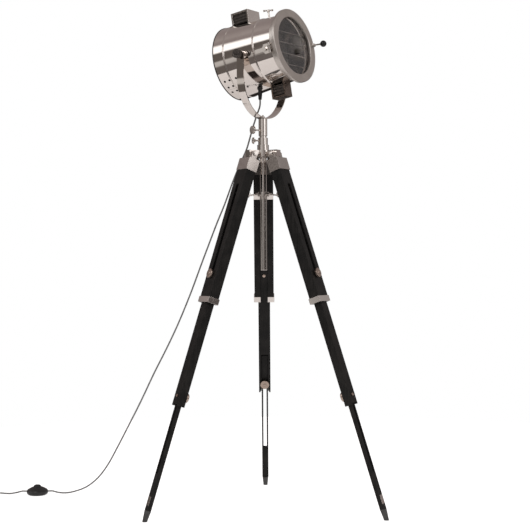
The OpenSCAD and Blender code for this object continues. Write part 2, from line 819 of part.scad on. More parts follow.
module cord_run() {
    rings = len(cord_points);
    points = [for (i = [0 : rings - 1]) each ring_at(cord_points, i)];
    near_end = [for (k = [0 : ring_sides - 1]) k];
    far_end = [for (k = [ring_sides - 1 : -1 : 0]) (rings - 1) * ring_sides + k];
    sides = [for (i = [0 : rings - 2], k = [0 : ring_sides - 1])
        let (next = (k + 1) % ring_sides)
        [i * ring_sides + k, (i + 1) * ring_sides + k, (i + 1) * ring_sides + next,
            i * ring_sides + next]];
    color("#6f6f6d") at_column()
        polyhedron(points = points, faces = concat([near_end], sides, [far_end]));
}

module cord_coil() {
    half = coil_turns_wide * cord_d / 2;
    color("#6f6f6d") at_column() translate(coil_center) difference() {
        cylinder(r = coil_mean_r + half, h = coil_turns_high * cord_d);
        translate([0, 0, -1]) cylinder(r = coil_mean_r - half, h = coil_turns_high * cord_d + 2);
    }
}

// Flat two-pin plug at the end of the cord, which leaves the coil along its left side
module plug() {
    boot_start = 21;
    body_start = 35;
    pin_start = body_start + plug_len;
    color("#151515") at_column()
        translate(coil_center + [-coil_mean_r - cord_d, 0, plug_t / 2]) rotate([0, 0, -90]) {
            rod_x(cord_r, 4, boot_start + 1);
            rod_x(3.5, boot_start, body_start + 1);
            block([body_start, -plug_w / 2, -plug_t / 2], [pin_start, plug_w / 2, plug_t / 2]);
            for (side = [-1, 1])
                translate([0, side * plug_pin_pitch / 2, 0])
                    rod_x(2, pin_start - 1, pin_start + plug_pin_len);
        }
}

module foot_switch() {
    r = switch_d / 2;
    color("#1c1c1c") at_column() translate([switch_x, switch_y, 0]) difference() {
        rotate_extrude() polygon([
            [0, 0], [r - 8, 0], [r - 2, 4], [r, 9], [r, 13], [r - 3, 18], [r - 10, switch_h - 5],
            [r - 18, switch_h - 1], [14, switch_h], [0, switch_h]
        ]);
        translate([0, 0, button_floor()]) cylinder(r = 12, h = switch_h);
        translate([0, 0, cord_height_in_switch]) rod_x(cord_r + pin_gap, -switch_d, switch_d);
    }
}

function button_floor() = cord_height_in_switch + cord_r + 2;

module switch_button() {
    low = button_floor() + button_travel + 0.5;
    color("#262626") at_column() translate([switch_x, switch_y, 0]) {
        translate([0, 0, low]) cylinder(r = 12 - turn_gap, h = switch_h + 3 - low);
        translate([0, 0, switch_h + 3]) cylinder(r1 = 12 - turn_gap, r2 = 8, h = 3);
    }
}

// ---- One line per sub-part ----

for (i = [0 : len(LEGS) - 1]) {
    at_leg(LEG_TURN[i]) leg_cap();
    at_leg(LEG_TURN[i]) leg_upper();
    at_leg(LEG_TURN[i]) leg_ferrule();
    at_leg(LEG_TURN[i]) leg_bracket();
    at_leg(LEG_TURN[i]) leg_middle();
    at_leg(LEG_TURN[i]) upper_knob();
    at_leg(LEG_TURN[i]) leg_lower();
    at_leg(LEG_TURN[i]) lower_knob();
    leg_foot(LEG_TURN[i]);
    at_arm(LEG_TURN[i]) spreader_arm();
}
hub();
hinge_bolts();
spreader_collar();
centre_post();
post_screw();
yoke_socket();
pan_screw();
yoke();
pivot_knob(180);  // near_pivot_knob
pivot_knob(0);  // far_pivot_knob
pivot_studs();
drum();
rear_cap();
door_hinge();
front_ring();
front_glass();
door_handle();
guard_wires();
reflector();
lamp_holder();
bulb();
top_vent();
bottom_vent();
wing_screw();
cable_gland();
cord_run();
cord_coil();
plug();
foot_switch();
switch_button();
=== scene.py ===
# %% [markdown]
# # A tripod floor lamp
# This lesson dresses a floor lamp: a polished drum head in a yoke, on a black wooden tripod, with a mains
# cord that runs to a foot switch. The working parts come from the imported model, which is the fixed frame.
# Blender adds the smooth sheet metal, the rounded wood, the cord at its real length, and every finish.

# %% Load the frame
import json
import math

import bmesh
import bpy
from mathutils import Matrix, Vector


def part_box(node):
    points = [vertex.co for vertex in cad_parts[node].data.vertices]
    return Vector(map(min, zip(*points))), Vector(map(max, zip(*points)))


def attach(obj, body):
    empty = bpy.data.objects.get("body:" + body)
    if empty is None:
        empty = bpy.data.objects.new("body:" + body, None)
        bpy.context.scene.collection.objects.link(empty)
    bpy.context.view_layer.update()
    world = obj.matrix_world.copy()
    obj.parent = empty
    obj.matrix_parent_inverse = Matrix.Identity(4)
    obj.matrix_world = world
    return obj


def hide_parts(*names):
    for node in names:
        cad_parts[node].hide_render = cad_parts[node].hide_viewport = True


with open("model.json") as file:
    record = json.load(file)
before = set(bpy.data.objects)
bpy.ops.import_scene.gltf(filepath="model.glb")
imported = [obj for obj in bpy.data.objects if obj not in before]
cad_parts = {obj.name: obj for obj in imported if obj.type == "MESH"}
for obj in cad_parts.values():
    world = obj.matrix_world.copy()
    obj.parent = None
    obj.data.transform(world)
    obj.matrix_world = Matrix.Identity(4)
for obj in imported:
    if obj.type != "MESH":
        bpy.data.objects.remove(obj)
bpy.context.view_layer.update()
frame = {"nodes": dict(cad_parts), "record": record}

record = frame["record"]
nodes = frame["nodes"]
joints = {joint["name"]: joint for joint in record["behaviour"]["joints"]}

# %% [markdown]
# ## Finding the lamp's own directions
# Everything is measured from the frame, so nothing is fitted by eye. The column's axis is the middle of the
# centre post's box. The head has its own directions: its tilt joint gives the sideways one, the wing
# screw's joint gives the upward one, and their cross product looks forwards. Each leg has such a set too.
# A matrix made of three directions and a place lets a piece be built upright at the origin and then put
# where it belongs, in its mesh, so that the finished object stays at the origin.

# %% Directions of the column, the head and the legs
def basis(x, y, z, place):
    """A matrix made of three directions and a place."""
    rows = Matrix((x, y, z)).transposed().to_4x4()
    return Matrix.Translation(place) @ rows


def middle(node):
    low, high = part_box(node)
    return (low + high) / 2


def joint_axis(name):
    return Vector(joints[name]["axis"]).normalized()


def joint_place(name):
    return Vector(joints[name]["pos_m"])


column = middle("centre_post")
column.z = 0
head_side = -joint_axis("head_tilt")
head_up = joint_axis("wing_screw_turn")
head_front = head_side.cross(head_up)
head = basis(head_front, head_side, head_up, joint_place("head_tilt"))
AXIS_ABOVE_PIVOTS = 0.012
drum_place = head @ Matrix.Translation((0, 0, AXIS_ABOVE_PIVOTS))
LEGS = ("left", "right", "back")
legs = {}
for leg in LEGS:
    outwards = joint_axis(leg + "_upper_clamp_turn")
    upwards = joint_axis(leg + "_middle_slide")
    legs[leg] = basis(outwards, upwards.cross(outwards), upwards, joint_place(leg + "_leg_fold"))
print("column at", tuple(round(c, 4) for c in column), "head looks", tuple(round(c, 3) for c in head_front))


def local_box(node, place):
    """A CAD node's lowest and highest corners in the directions of a place."""
    back = place.inverted()
    spots = [back @ v.co for v in nodes[node].data.vertices]
    low = Vector(min(s[i] for s in spots) for i in range(3))
    high = Vector(max(s[i] for s in spots) for i in range(3))
    return low, high


# %% [markdown]
# ## Camera
# A long lens from about four metres keeps the tripod's legs nearly parallel, as a catalogue picture does.
# The camera stands level at half the lamp's height, looks straight along +Y, and is turned a touch about
# its own line of sight.

# %% Camera
CAMERA_DISTANCE = 3.915
CAMERA_HEIGHT = 0.752
CAMERA_ASIDE = 0.0035
CAMERA_LENS = 85.8
CAMERA_ROLL = 0.4
SENSOR_WIDTH = 36
camera_data = bpy.data.cameras.new("camera")
camera_data.lens = CAMERA_LENS
camera_data.sensor_width = SENSOR_WIDTH
camera = bpy.data.objects.new("camera", camera_data)
bpy.context.scene.collection.objects.link(camera)
camera.location = column + Vector((CAMERA_ASIDE, -CAMERA_DISTANCE, CAMERA_HEIGHT))
camera.rotation_euler = (math.radians(90), math.radians(CAMERA_ROLL), 0)
bpy.context.scene.camera = camera
print("camera", tuple(round(c, 3) for c in camera.location))

# %% [markdown]
# ## The mains cord
# The cord has its real length. It leaves the boot of the gland under the drum, falls behind the left
# leg, reaches the floor, passes through the foot switch and ends in its plug. The length that isn't needed
# lies in a small round coil beyond the switch. The route's points are the model's own, so the visible
# cord lies where the plain solid lies. The coil is worked out: three turns wide and two high, each turn one
# diameter from the next.

# %% Cord route
CORD_D = 0.005
ROUTE_MM = [
    (-8, -30.7, 1260), (-8, -30.7, 1248), (-9.8, -27.6, 1237), (-14.2, -19, 1226),
    (-20, -7, 1214), (-24, 4.5, 1201), (-28.5, 13, 1189), (-35.5, 17.5, 1166), (-43, 21, 1140),
    (-52, 28, 1112), (-68, 38, 1078), (-84, 46, 1042),
    (-98, 52, 1008), (-122, 60, 944), (-146, 70, 888), (-170, 82, 828), (-200, 98, 752),
    (-234, 116, 664), (-276, 136, 566), (-316, 154, 484), (-358, 172, 404), (-402, 192, 314),
    (-446, 212, 230), (-490, 234, 148), (-520, 250, 96), (-554, 266, 52), (-594, 278, 20),
    (-636, 276, 5), (-664, 264, 3), (-686, 254, 7), (-702, 250, 12), (-716, 250, 12),
    (-788, 250, 12), (-802, 250, 12), (-822, 252, 7), (-846, 258, 3), (-874, 268, 3),
    (-900, 276, 3), (-922, 279, 3), (-936, 279.5, 3),
]
route = [column + Vector(p) / 1000 for p in ROUTE_MM]


def spline(points, steps):
    """Points on a smooth curve through all of the given ones."""
    out = []
    for i in range(len(points) - 1):
        a = points[max(i - 1, 0)]
        b, c = points[i], points[i + 1]
        d = points[min(i + 2, len(points) - 1)]
        for k in range(steps):
            t = k / steps
            out.append(0.5 * (2 * b + (c - a) * t + (2 * a - 5 * b + 4 * c - d) * t * t
                              + (3 * b - a - 3 * c + d) * t ** 3))
    out.append(points[-1].copy())
    return out


# %% [markdown]
# The coil lies flat on the floor beyond the switch. Each turn keeps its radius for most of the way round
# and then steps sideways by one diameter, as a cord does when it is laid by hand. The first layer is
# wound inwards, the second outwards on top of it, and the end leaves along a tangent towards the plug.

# %% Coil and plug end of the cord
COIL_CENTRE = column + Vector((-0.938, 0.247, 0))
COIL_RADII = (0.0325, 0.0275, 0.0225)
COIL_LOW = CORD_D / 2 + 0.0003
COIL_TURNS = 5.25
STEP_STARTS = 0.8
STEP_SHARE = 0.2
POINTS_A_TURN = 24
PLUG_ENTRY = Vector((0, -0.022, -0.0008))
rings = [(r, COIL_LOW) for r in COIL_RADII] + [(r, COIL_LOW + CORD_D) for r in reversed(COIL_RADII)]


def coil_point(turn):
    """Where the cord is after so many turns round the coil, starting from its farthest edge."""
    whole = min(int(turn), len(rings) - 1)
    step = min(max((turn - whole - STEP_STARTS) / STEP_SHARE, 0), 1)
    step = step * step * (3 - 2 * step)
    here, after = rings[whole], rings[min(whole + 1, len(rings) - 1)]
    radius = here[0] + (after[0] - here[0]) * step
    height = here[1] + (after[1] - here[1]) * step
    angle = math.radians(90) + turn * math.tau
    return COIL_CENTRE + Vector((radius * math.cos(angle), radius * math.sin(angle), height))


cord_points = spline(route, 3)[:-1]
coil_steps = int(COIL_TURNS * POINTS_A_TURN)
cord_points += [coil_point(i / POINTS_A_TURN) for i in range(coil_steps + 1)]
plug_entry = cord_points[-1] + PLUG_ENTRY
cord_points += [cord_points[-1].lerp(plug_entry, 0.5), plug_entry]

# %% [markdown]
# ## Light
# Polished nickel shows its surroundings, so the studio matters as much as the metal. The world is a dim
# room. Its brightness follows the direction that a reflected ray takes: how far round from straight behind
# the lamp, and how high. First come the helpers that build node trees.

# %% World and helpers for nodes
world = bpy.data.worlds.new("studio")
bpy.context.scene.world = world
world.use_nodes = True


def add_node(tree, kind, **settings):
    """A new shader node. Settings are its properties, or the values of its inputs by name."""
    made = tree.nodes.new(kind)
    for key, value in settings.items():
        if hasattr(made, key):
            setattr(made, key, value)
        else:
            made.inputs[key.replace("_", " ")].default_value = value
    return made


def arithmetic(tree, operation, *values):
    """A Math node with numbers or other nodes' outputs on its inputs."""
    made = tree.nodes.new("ShaderNodeMath")
    made.operation = operation
    for slot, value in zip(made.inputs, values):
        if isinstance(value, (int, float)):
            slot.default_value = value
        else:
            tree.links.new(value, slot)
    return made.outputs[0]


def ramp(tree, factor, stops, blend="EASE"):
    """A ColorRamp through stops of (position, colour)."""
    made = tree.nodes.new("ShaderNodeValToRGB")
    made.color_ramp.interpolation = blend
    elements = made.color_ramp.elements
    while len(elements) < len(stops):
        elements.new(0.5)
    for element, (position, colour) in zip(elements, sorted(stops, key=lambda s: s[0])):
        element.position = position
        element.color = (*colour, 1)
    tree.links.new(factor, made.inputs[0])
    return made.outputs[0]


def mixed(tree, factor, first, second, blend="MIX"):
    """A Mix node between two colours."""
    made = add_node(tree, "ShaderNodeMix", data_type="RGBA", blend_type=blend)
    for slot, value in ((0, factor), (6, first), (7, second)):
        if isinstance(value, (int, float)):
            made.inputs[slot].default_value = value
        elif isinstance(value, tuple):
            made.inputs[slot].default_value = (*value, 1)
        else:
            tree.links.new(value, made.inputs[slot])
    return made.outputs[2]


MAUVE = (0.29, 0.25, 0.245)
LIGHT_MAUVE = (0.40, 0.36, 0.35)
DARK = (0.05, 0.043, 0.04)
DARK_BAND = (0.125, 0.11, 0.10)
LIGHT_BAND = (0.62, 0.60, 0.58)
PANEL = (1.5, 1.5, 1.51)
ROOM = (0.36, 0.34, 0.335)
OFF = (0, 0, 0)
HALF_LIT = (0.4, 0.4, 0.4)
ON = (1, 1, 1)


def turn_stops(stops):
    """Ramp stops from angles, counted in degrees from straight behind the lamp round by its left."""
    return [((angle + 180) / 360, colour) for angle, colour in stops]


def height_stops(stops):
    """Ramp stops from heights, which are the sines of the angle above the horizon."""
    return [((sine + 1) / 2, colour) for sine, colour in stops]


print("room colours", len((MAUVE, LIGHT_MAUVE, DARK, DARK_BAND, LIGHT_BAND, PANEL, ROOM)))

# %% [markdown]
# The room has three parts. The high one and the low one change round the lamp, and the low one is dimmer
# below the horizon. On the lamp's left stands a layered wall, which the side of the drum shows as bands:
# light below the horizon, then dark, then a bright panel high up, then dim. The camera itself sees a
# plain backdrop.

# %% World
tree = world.node_tree
tree.nodes.clear()
direction = add_node(tree, "ShaderNodeTexCoord").outputs["Generated"]
split = add_node(tree, "ShaderNodeSeparateXYZ")
tree.links.new(direction, split.inputs[0])
east, north, height = split.outputs
leftwards = arithmetic(tree, "MULTIPLY", east, -1.0)
turn = arithmetic(tree, "ARCTAN2", leftwards, north)
turn_share = arithmetic(tree, "MULTIPLY_ADD", turn, 1 / math.tau, 0.5)
high_room = ramp(tree, turn_share, turn_stops([
    (-180, ROOM), (-140, MAUVE), (-110, LIGHT_BAND), (-80, LIGHT_MAUVE), (-40, ROOM), (0, MAUVE),
    (40, MAUVE), (90, LIGHT_MAUVE), (125, MAUVE), (150, MAUVE), (179, ROOM),
]), "LINEAR")
low_room = ramp(tree, turn_share, turn_stops([
    (-180, LIGHT_MAUVE), (-170, LIGHT_MAUVE), (-150, DARK_BAND), (-130, DARK_BAND), (-117, MAUVE),
    (-85, LIGHT_BAND), (-60, MAUVE), (-10, DARK), (35, DARK), (60, DARK_BAND), (80, LIGHT_MAUVE),
    (124, LIGHT_MAUVE), (134, LIGHT_BAND), (165, LIGHT_BAND), (179, LIGHT_MAUVE),
]), "LINEAR")
height_share = arithmetic(tree, "MULTIPLY_ADD", height, 0.5, 0.5)
left_room = ramp(tree, height_share, height_stops([
    (-0.25, DARK_BAND), (-0.18, LIGHT_BAND), (-0.02, LIGHT_BAND), (0.05, DARK_BAND), (0.36, DARK_BAND),
    (0.43, PANEL), (0.61, PANEL), (0.68, MAUVE), (0.99, LIGHT_MAUVE),
]), "LINEAR")
dimming = ramp(tree, height_share, height_stops([(0.04, HALF_LIT), (0.09, ON)]), "LINEAR")
low_dimmed = mixed(tree, 1.0, low_room, dimming, "MULTIPLY")
raised = ramp(tree, height, [(0.14, OFF), (0.26, ON)])
on_the_left = ramp(tree, turn_share, turn_stops([(76, OFF), (88, ON), (120, ON), (126, OFF)]), "LINEAR")
around = mixed(tree, raised, low_dimmed, high_room)
room = mixed(tree, on_the_left, around, left_room)
seen = add_node(tree, "ShaderNodeLightPath").outputs["Is Camera Ray"]
colour = mixed(tree, seen, room, ON)
background = add_node(tree, "ShaderNodeBackground", Strength=1.0)
tree.links.new(colour, background.inputs["Color"])
output = add_node(tree, "ShaderNodeOutputWorld")
tree.links.new(background.outputs[0], output.inputs["Surface"])
bpy.context.scene.view_settings.view_transform = "Standard"
print("world nodes", len(tree.nodes))

# %% [markdown]
# Two large area lights soften the room's light on the wood and keep the floor pale. They are far away and
# wide, so they make no hard shadow. The floor is a pale disc that glows a little, and more where the camera
# looks at it, so it melts into the backdrop. Its glow also gives the warm underside of the drum.

# %% Lamps and floor
def soft_light(name, place, target, size, power):
    """A round area light that looks at a target."""
    data = bpy.data.lights.new(name, "AREA")
    data.shape = "DISK"
    data.size = size
    data.energy = power
    light = bpy.data.objects.new(name, data)
    light.location = place
    light.rotation_euler = (Vector(target) - Vector(place)).to_track_quat("-Z", "Y").to_euler()
    bpy.context.scene.collection.objects.link(light)


LIGHT_SIZE = 2.4
KEY_POWER = 45
FILL_POWER = 20
soft_light("key", (-2.2, -3.2, 3.4), (0, 0, 0.7), LIGHT_SIZE, KEY_POWER)
soft_light("fill", (2.8, -2.6, 2.2), (0, 0, 0.6), LIGHT_SIZE, FILL_POWER)
FLOOR_REACH = 2.25
FLOOR_BELOW = 0.0005
FLOOR_GLOW = 0.28
GLOW_WHEN_SEEN = 0.54
floor_mesh = bmesh.new()
bmesh.ops.create_circle(floor_mesh, cap_ends=True, radius=FLOOR_REACH, segments=64)
floor_data = bpy.data.meshes.new("floor")
floor_mesh.to_mesh(floor_data)
floor_mesh.free()
floor = bpy.data.objects.new("floor", floor_data)
bpy.context.scene.collection.objects.link(floor)
floor.location = (0, 0, -FLOOR_BELOW)
pale = bpy.data.materials.new("pale_floor")
pale.use_nodes = True
pale_shader = pale.node_tree.nodes["Principled BSDF"]
pale_shader.inputs["Base Color"].default_value = (0.93, 0.93, 0.93, 1)
pale_shader.inputs["Roughness"].default_value = 0.9
pale_shader.inputs["Emission Color"].default_value = (1, 1, 1, 1)
looked_at = add_node(pale.node_tree, "ShaderNodeLightPath").outputs["Is Camera Ray"]
glow = arithmetic(pale.node_tree, "MULTIPLY_ADD", looked_at, GLOW_WHEN_SEEN, FLOOR_GLOW)
pale.node_tree.links.new(glow, pale_shader.inputs["Emission Strength"])
floor_data.materials.append(pale)
print("floor radius", FLOOR_REACH)

# %% [markdown]
# ## Finishes
# Every finish is made of nodes, so it holds at any distance. Each reads Object coordinates, which are the
# lamp's own metres, because every piece keeps its place in its mesh. A little noise drives the roughness
# and a bump, and worn patches come from a second, larger noise. One helper makes that pattern, and each
# finish gives it its colours, its least and greatest roughness, how metallic it is, the scale of its noise
# and the strength of its bump.

# %% Helper for finishes
def finish(name, shade, worn, roughness, metallic, scale, bump, bump_depth=0.0003,
           stretch=(1, 1, 1), turned=(0, 0, 0), detail=6, **sockets):
    """A finish whose colour, roughness and bump follow one stretched noise."""
    material = bpy.data.materials.new(name)
    material.use_nodes = True
    tree = material.node_tree
    shader = tree.nodes["Principled BSDF"]
    place = add_node(tree, "ShaderNodeTexCoord").outputs["Object"]
    mapping = add_node(tree, "ShaderNodeMapping")
    mapping.inputs["Rotation"].default_value = turned
    mapping.inputs["Scale"].default_value = stretch
    tree.links.new(place, mapping.inputs["Vector"])
    noise = add_node(tree, "ShaderNodeTexNoise", Scale=float(scale), Detail=float(detail))
    noise.inputs["Roughness"].default_value = 0.6
    tree.links.new(mapping.outputs[0], noise.inputs["Vector"])
    patches = add_node(tree, "ShaderNodeTexNoise", Scale=scale / 9, Detail=3.0)
    tree.links.new(place, patches.inputs["Vector"])
    amount = arithmetic(tree, "MULTIPLY", noise.outputs["Fac"], patches.outputs["Fac"])
    colours = ramp(tree, amount, [(0.15, shade), (0.38, worn)], "LINEAR")
    tree.links.new(colours, shader.inputs["Base Color"])
    rough = add_node(tree, "ShaderNodeMapRange")
    rough.inputs["From Min"].default_value = 0.3
    rough.inputs["From Max"].default_value = 0.7
    rough.inputs["To Min"].default_value = roughness[0]
    rough.inputs["To Max"].default_value = roughness[1]
    tree.links.new(noise.outputs["Fac"], rough.inputs["Value"])
    tree.links.new(rough.outputs[0], shader.inputs["Roughness"])
    relief = add_node(tree, "ShaderNodeBump", Strength=bump, Distance=bump_depth)
    tree.links.new(noise.outputs["Fac"], relief.inputs["Height"])
    tree.links.new(relief.outputs[0], shader.inputs["Normal"])
    shader.inputs["Metallic"].default_value = metallic
    for key, value in sockets.items():
        shader.inputs[key.replace("_", " ")].default_value = value
    return material


# %% [markdown]
# The drum and yoke are polished nickel, a warm mirror with faint wiping marks. The same metal on the front
# ring, the hub and the small fittings is brushed, so it is duller. The clamp knobs are turned brass under
# nickel. The wood is beech stained black, with its grain running along the leg. Rubber, plastic, painted
# steel, glass and the cord's sheath each have their own grain.

# %% Finishes
nickel = finish("nickel", (0.76, 0.70, 0.655), (0.80, 0.745, 0.70), (0.045, 0.085), 1.0, 90, 0.012)
bright_nickel = finish("nickel.fittings", (0.74, 0.69, 0.65), (0.80, 0.75, 0.71), (0.10, 0.2),
                       1.0, 220, 0.05)
satin = finish("satin_nickel", (0.56, 0.515, 0.475), (0.65, 0.60, 0.56), (0.30, 0.42), 1.0, 260, 0.08)
cap_metal = finish("satin_nickel.caps", (0.50, 0.455, 0.425), (0.60, 0.55, 0.515), (0.16, 0.26),
                   1.0, 260, 0.08)
knob_metal = finish("knob_nickel", (0.40, 0.31, 0.26), (0.58, 0.47, 0.40), (0.22, 0.36), 1.0, 300, 0.08)
dark_steel = finish("dark_steel", (0.07, 0.062, 0.057), (0.13, 0.115, 0.105), (0.28, 0.5), 0.85, 180, 0.12)
# The bottom vent's dark brown is painted shade and painted warm reflection for its place under the drum.
shaded_vent_metal = finish("painted_shade.bottom_vent", (0.17, 0.135, 0.115), (0.27, 0.225, 0.195), (0.2, 0.34),
                    1.0, 200, 0.1)
# The reflector's colour is painted shade: far darker than aluminium, for the dim inside of the drum.
shaded_dish_metal = finish("reflector", (0.17, 0.165, 0.16), (0.25, 0.245, 0.24), (0.06, 0.14), 1.0, 500, 0.2)
rubber = finish("black_rubber", (0.012, 0.012, 0.012), (0.028, 0.027, 0.026), (0.55, 0.75), 0.0, 900, 0.3)
foot_rubber = finish("black_rubber.feet", (0.045, 0.045, 0.043), (0.08, 0.079, 0.076), (0.5, 0.7),
                     0.0, 900, 0.3)
plastic = finish("black_plastic", (0.009, 0.009, 0.009), (0.02, 0.02, 0.02), (0.3, 0.42),
                 0.0, 1500, 0.25, 0.0002)
sheath = finish("grey_cord", (0.17, 0.17, 0.168), (0.25, 0.25, 0.245), (0.42, 0.6), 0.0, 700, 0.2)
frosted = finish("bulb_glass", (0.80, 0.79, 0.76), (0.88, 0.87, 0.85), (0.12, 0.25), 0.0, 300, 0.02,
                 Coat_Weight=0.6)
clear = finish("clear_glass", (0.95, 0.96, 0.96), (0.98, 0.98, 0.98), (0.02, 0.05), 0.0, 40, 0.01,
               Transmission_Weight=1.0, IOR=1.45)
ALONG_GRAIN = 0.05


def wood_for(leg):
    """Black-stained wood whose grain runs along one leg."""
    lean = legs[leg].to_3x3().inverted().to_euler()
    return finish("black_wood." + leg, (0.0050, 0.0045, 0.0042), (0.019, 0.017, 0.0155), (0.38, 0.60),
                  0.0, 260, 0.35, 0.0004, (1, 1, ALONG_GRAIN), lean, 8, Specular_IOR_Level=0.22)


wood = {leg: wood_for(leg) for leg in LEGS}
print("finishes", len(bpy.data.materials))

# %% [markdown]
# ## Making pieces
# A turned part is a profile spun about an axis. A milled or cast part starts from its plain solid, whose
# corners are merged and whose sharp edges get a small round, because a real edge always catches a line of
# light. Both end in the same way: merged, faces outwards, moved to their place, and shaded smooth except
# at real edges.

# %% Helpers that make and finish a piece
MERGE = 1e-6
SHARP_EDGE = 35


def finished(bm, name, material, body, stands_for=(), place=Matrix(), sharp=SHARP_EDGE, turn_out=True):
    """Make an object of a bmesh, put its place in its mesh, and let it ride on a body."""
    bmesh.ops.remove_doubles(bm, verts=bm.verts, dist=MERGE)
    if turn_out:
        bmesh.ops.recalc_face_normals(bm, faces=bm.faces)
    bmesh.ops.transform(bm, matrix=place, verts=bm.verts)
    mesh = bpy.data.meshes.new(name)
    bm.to_mesh(mesh)
    bm.free()
    mesh.materials.append(material)
    mesh.polygons.foreach_set("use_smooth", [True] * len(mesh.polygons))
    mesh.set_sharp_from_angle(angle=math.radians(sharp))
    piece = bpy.data.objects.new(name, mesh)
    bpy.context.scene.collection.objects.link(piece)
    even = piece.modifiers.new("even_shading", "WEIGHTED_NORMAL")
    even.keep_sharp = True
    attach(piece, body)
    if stands_for:
        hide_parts(*stands_for)
    return piece


def rounded(profile, radius, steps=4):
    """A profile whose inner corners are replaced by small arcs."""
    points = [Vector(p) for p in profile]
    out = [points[0]]
    for before, corner, after in zip(points, points[1:], points[2:]):
        reach = min(radius, (before - corner).length / 2.1, (after - corner).length / 2.1)
        start = corner + (before - corner).normalized() * reach
        end = corner + (after - corner).normalized() * reach
        for k in range(steps + 1):
            t = k / steps
            out.append(start.lerp(corner, t).lerp(corner.lerp(end, t), t))
    out.append(points[-1])
    return out


def turned(profile, steps=96, axis="X"):
    """Spin a profile of (distance along the axis, radius) all the way round."""
    bm = bmesh.new()
    points = [bm.verts.new((x, r, 0)) for x, r in profile]
    edges = [bm.edges.new(pair) for pair in zip(points, points[1:])]
    bmesh.ops.spin(bm, geom=points + edges, cent=(0, 0, 0), axis=(1, 0, 0), angle=math.tau,
                   steps=steps, use_merge=True)
    bmesh.ops.remove_doubles(bm, verts=bm.verts, dist=MERGE)
    if axis == "Z":
        bmesh.ops.rotate(bm, verts=bm.verts, matrix=Matrix.Rotation(math.radians(-90), 3, "Y"))
    if axis == "Y":
        bmesh.ops.rotate(bm, verts=bm.verts, matrix=Matrix.Rotation(math.radians(90), 3, "Z"))
    return bm


def softened(bm, width, segments=2, sharp=30):
    """Round every edge that is sharper than an angle."""
    edges = [e for e in bm.edges
             if len(e.link_faces) == 2 and e.calc_face_angle() > math.radians(sharp)]
    bmesh.ops.bevel(bm, geom=edges, offset=width, offset_type="OFFSET", segments=segments,
                    profile=0.5, affect="EDGES", material=-1, clamp_overlap=True)


SOLID_MERGE = 1e-5
FLAT_WITHIN = math.radians(0.8)


def from_solid(node, width=0.0006, segments=2):
    """A copy of a plain solid with its corners merged and its edges softened."""
    bm = bmesh.new()
    bm.from_mesh(nodes[node].data)
    bmesh.ops.remove_doubles(bm, verts=bm.verts, dist=SOLID_MERGE)
    bmesh.ops.dissolve_limit(bm, angle_limit=FLAT_WITHIN, verts=bm.verts, edges=bm.edges)
    softened(bm, width, segments)
    return bm


def gripped(radius, depth, count, low, high):
    """A short cylinder along X whose rim has small vertical ridges to grip it by."""
    bm = bmesh.new()
    bmesh.ops.create_cone(bm, cap_ends=True, segments=3 * count, radius1=radius, radius2=radius,
                          depth=high - low, matrix=Matrix.Translation(((low + high) / 2, 0, 0))
                          @ Matrix.Rotation(math.radians(90), 4, "Y"))
    step = math.tau / (3 * count)
    for v in bm.verts:
        if round(math.atan2(v.co.z, v.co.y) / step) % 3 == 0:
            v.co.y *= 1 - depth / radius
            v.co.z *= 1 - depth / radius
    softened(bm, 0.0005, 2, 60)
    return bm


def plate(low, high, edge=0.0005):
    """A block between two corners, its edges softened."""
    low, high = Vector(low), Vector(high)
    bm = bmesh.new()
    bmesh.ops.create_cube(bm, size=1, matrix=Matrix.Translation((low + high) / 2)
                          @ Matrix.Diagonal((*(high - low), 1)))
    softened(bm, edge, 3)
    return bm


def bolt_head(radius, thickness, sides=6):
    """A bolt head along X with a chamfered face, standing on the plane x = 0."""
    bm = bmesh.new()
    bmesh.ops.create_cone(bm, cap_ends=True, segments=sides, radius1=radius, radius2=radius,
                          depth=thickness, matrix=Matrix.Translation((thickness / 2, 0, 0))
                          @ Matrix.Rotation(math.radians(90), 4, "Y"))
    softened(bm, thickness * 0.18, 2, 20)
    return bm


def along(direction, place=(0, 0, 0)):
    """A matrix that turns +X to a direction and moves to a place."""
    return Matrix.Translation(place) @ Vector(direction).to_track_quat("X", "Z").to_matrix().to_4x4()


def holed(bm, cutter):
    """Cut one bmesh out of another with a Boolean, and give the result as a bmesh."""
    objects = []
    for part in (bm, cutter):
        bmesh.ops.recalc_face_normals(part, faces=part.faces)
        data = bpy.data.meshes.new("scratch")
        part.to_mesh(data)
        part.free()
        scratch = bpy.data.objects.new("scratch", data)
        bpy.context.scene.collection.objects.link(scratch)
        objects.append(scratch)
    cut = objects[0].modifiers.new("cut", "BOOLEAN")
    cut.object = objects[1]
    cut.solver = "EXACT"
    graph = bpy.context.evaluated_depsgraph_get()
    result = bpy.data.meshes.new_from_object(objects[0].evaluated_get(graph))
    out = bmesh.new()
    out.from_mesh(result)
    for scratch in objects:
        data = scratch.data
        bpy.data.objects.remove(scratch)
        bpy.data.meshes.remove(data)
    bpy.data.meshes.remove(result)
    return out


BODY_OF = {node: body for body, members in record["behaviour"]["bodies"].items() for node in members}


def dressed(node, material, width=0.0006, segments=2):
    """Replace a plain solid by its softened copy in a finish."""
    return finished(from_solid(node, width, segments), node + "_dressed", material, BODY_OF[node],
                    (node,), turn_out=False)


def merged(*parts):
    """Join several bmeshes, each with its place, into the first one."""
    whole = bmesh.new()
    for bm, place in parts:
        bmesh.ops.transform(bm, matrix=place, verts=bm.verts)
        scratch = bpy.data.meshes.new("scratch")
        bm.to_mesh(scratch)
        bm.free()
        whole.from_mesh(scratch)
        bpy.data.meshes.remove(scratch)
    return whole


# %% [markdown]
# ## The legs
# Each leg has three wooden sections that slide into each other. The upper one is a channel of black-stained
# beech with metal at both ends. The softened copies keep the model's slots, so the sections still slide.

